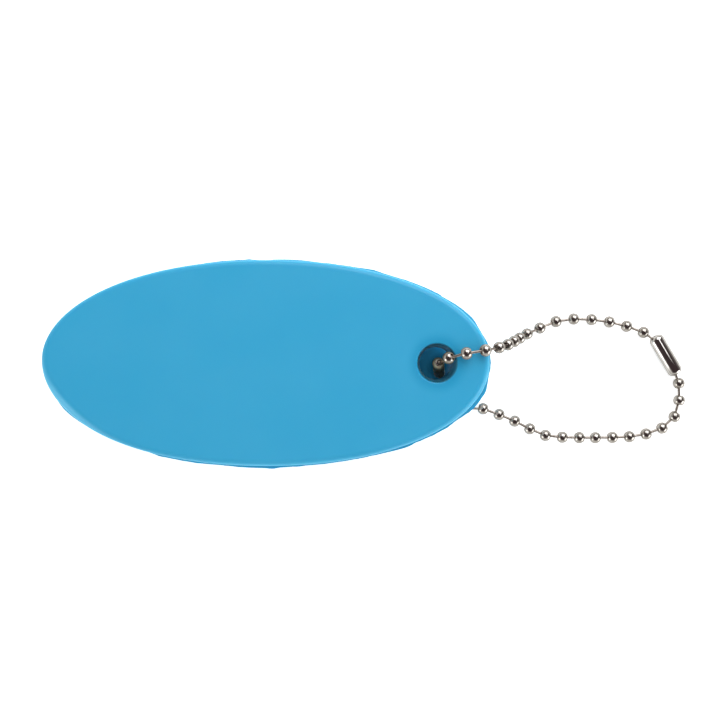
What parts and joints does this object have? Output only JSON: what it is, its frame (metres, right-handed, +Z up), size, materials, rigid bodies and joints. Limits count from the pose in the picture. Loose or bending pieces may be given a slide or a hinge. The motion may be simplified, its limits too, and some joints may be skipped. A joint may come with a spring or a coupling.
{
  "type": "floating keychain",
  "caption": "Oval foam float with a hole near one end and a closed loop of ball chain through it, joined by a sleeve connector.",
  "frame": {"origin": "under the middle of the whole length, on the surface that the keychain lies on, in line with the float's long axis", "axes": "+X along the float towards the chain loop, +Z up from the surface"},
  "size_m": [0.1318, 0.0418, 0.0196],
  "materials": {
    "blue_foam_skin": "smooth satin vinyl skin, sky blue",
    "nickel_chain": "bright nickel plate",
    "nickel_sheet": "bright nickel plate on rolled sheet"
  },
  "bodies": {
    "float_and_chain": {"float_body": "blue_foam_skin", "bead_12": "nickel_chain", "bead_13": "nickel_chain", "bead_14": "nickel_chain", "bead_15": "nickel_chain", "bead_16": "nickel_chain", "bead_17": "nickel_chain", "bead_18": "nickel_chain", "bead_19": "nickel_chain", "bead_20": "nickel_chain", "bead_21": "nickel_chain", "bead_22": "nickel_chain", "bead_23": "nickel_chain", "bead_24": "nickel_chain", "bead_25": "nickel_chain", "bead_26": "nickel_chain", "bead_27": "nickel_chain", "bead_28": "nickel_chain", "bead_29": "nickel_chain", "bead_30": "nickel_chain", "bead_31": "nickel_chain", "bead_32": "nickel_chain"},
    "loop_1": {"bead_11": "nickel_chain", "bead_33": "nickel_chain"},
    "loop_2": {"bead_10": "nickel_chain", "bead_34": "nickel_chain"},
    "loop_3": {"bead_01": "nickel_chain", "bead_02": "nickel_chain", "bead_03": "nickel_chain", "bead_04": "nickel_chain", "bead_05": "nickel_chain", "bead_06": "nickel_chain", "bead_07": "nickel_chain", "bead_08": "nickel_chain", "bead_09": "nickel_chain", "bead_35": "nickel_chain", "bead_36": "nickel_chain", "bead_37": "nickel_chain", "bead_38": "nickel_chain", "bead_39": "nickel_chain", "connector": "nickel_sheet"}
  },
  "joints": [
    {"name": "loop_fold_1", "type": "hinge", "parent": "float_and_chain", "child": "loop_1", "pos_m": [0.0378, -0.00338, 0.00122], "axis": [-0.057, -0.9984, -0.0015], "range_deg": [-22, 22]},
    {"name": "loop_fold_2", "type": "hinge", "parent": "loop_1", "child": "loop_2", "pos_m": [0.04141, -0.00323, 0.0012], "axis": [-0.0603, -0.9982, 0.0001], "range_deg": [-22, 22]},
    {"name": "loop_fold_3", "type": "hinge", "parent": "loop_2", "child": "loop_3", "pos_m": [0.04507, -0.0033, 0.0012], "axis": [-0.0675, -0.9977, 0], "range_deg": [-22, 22]}
  ]
}
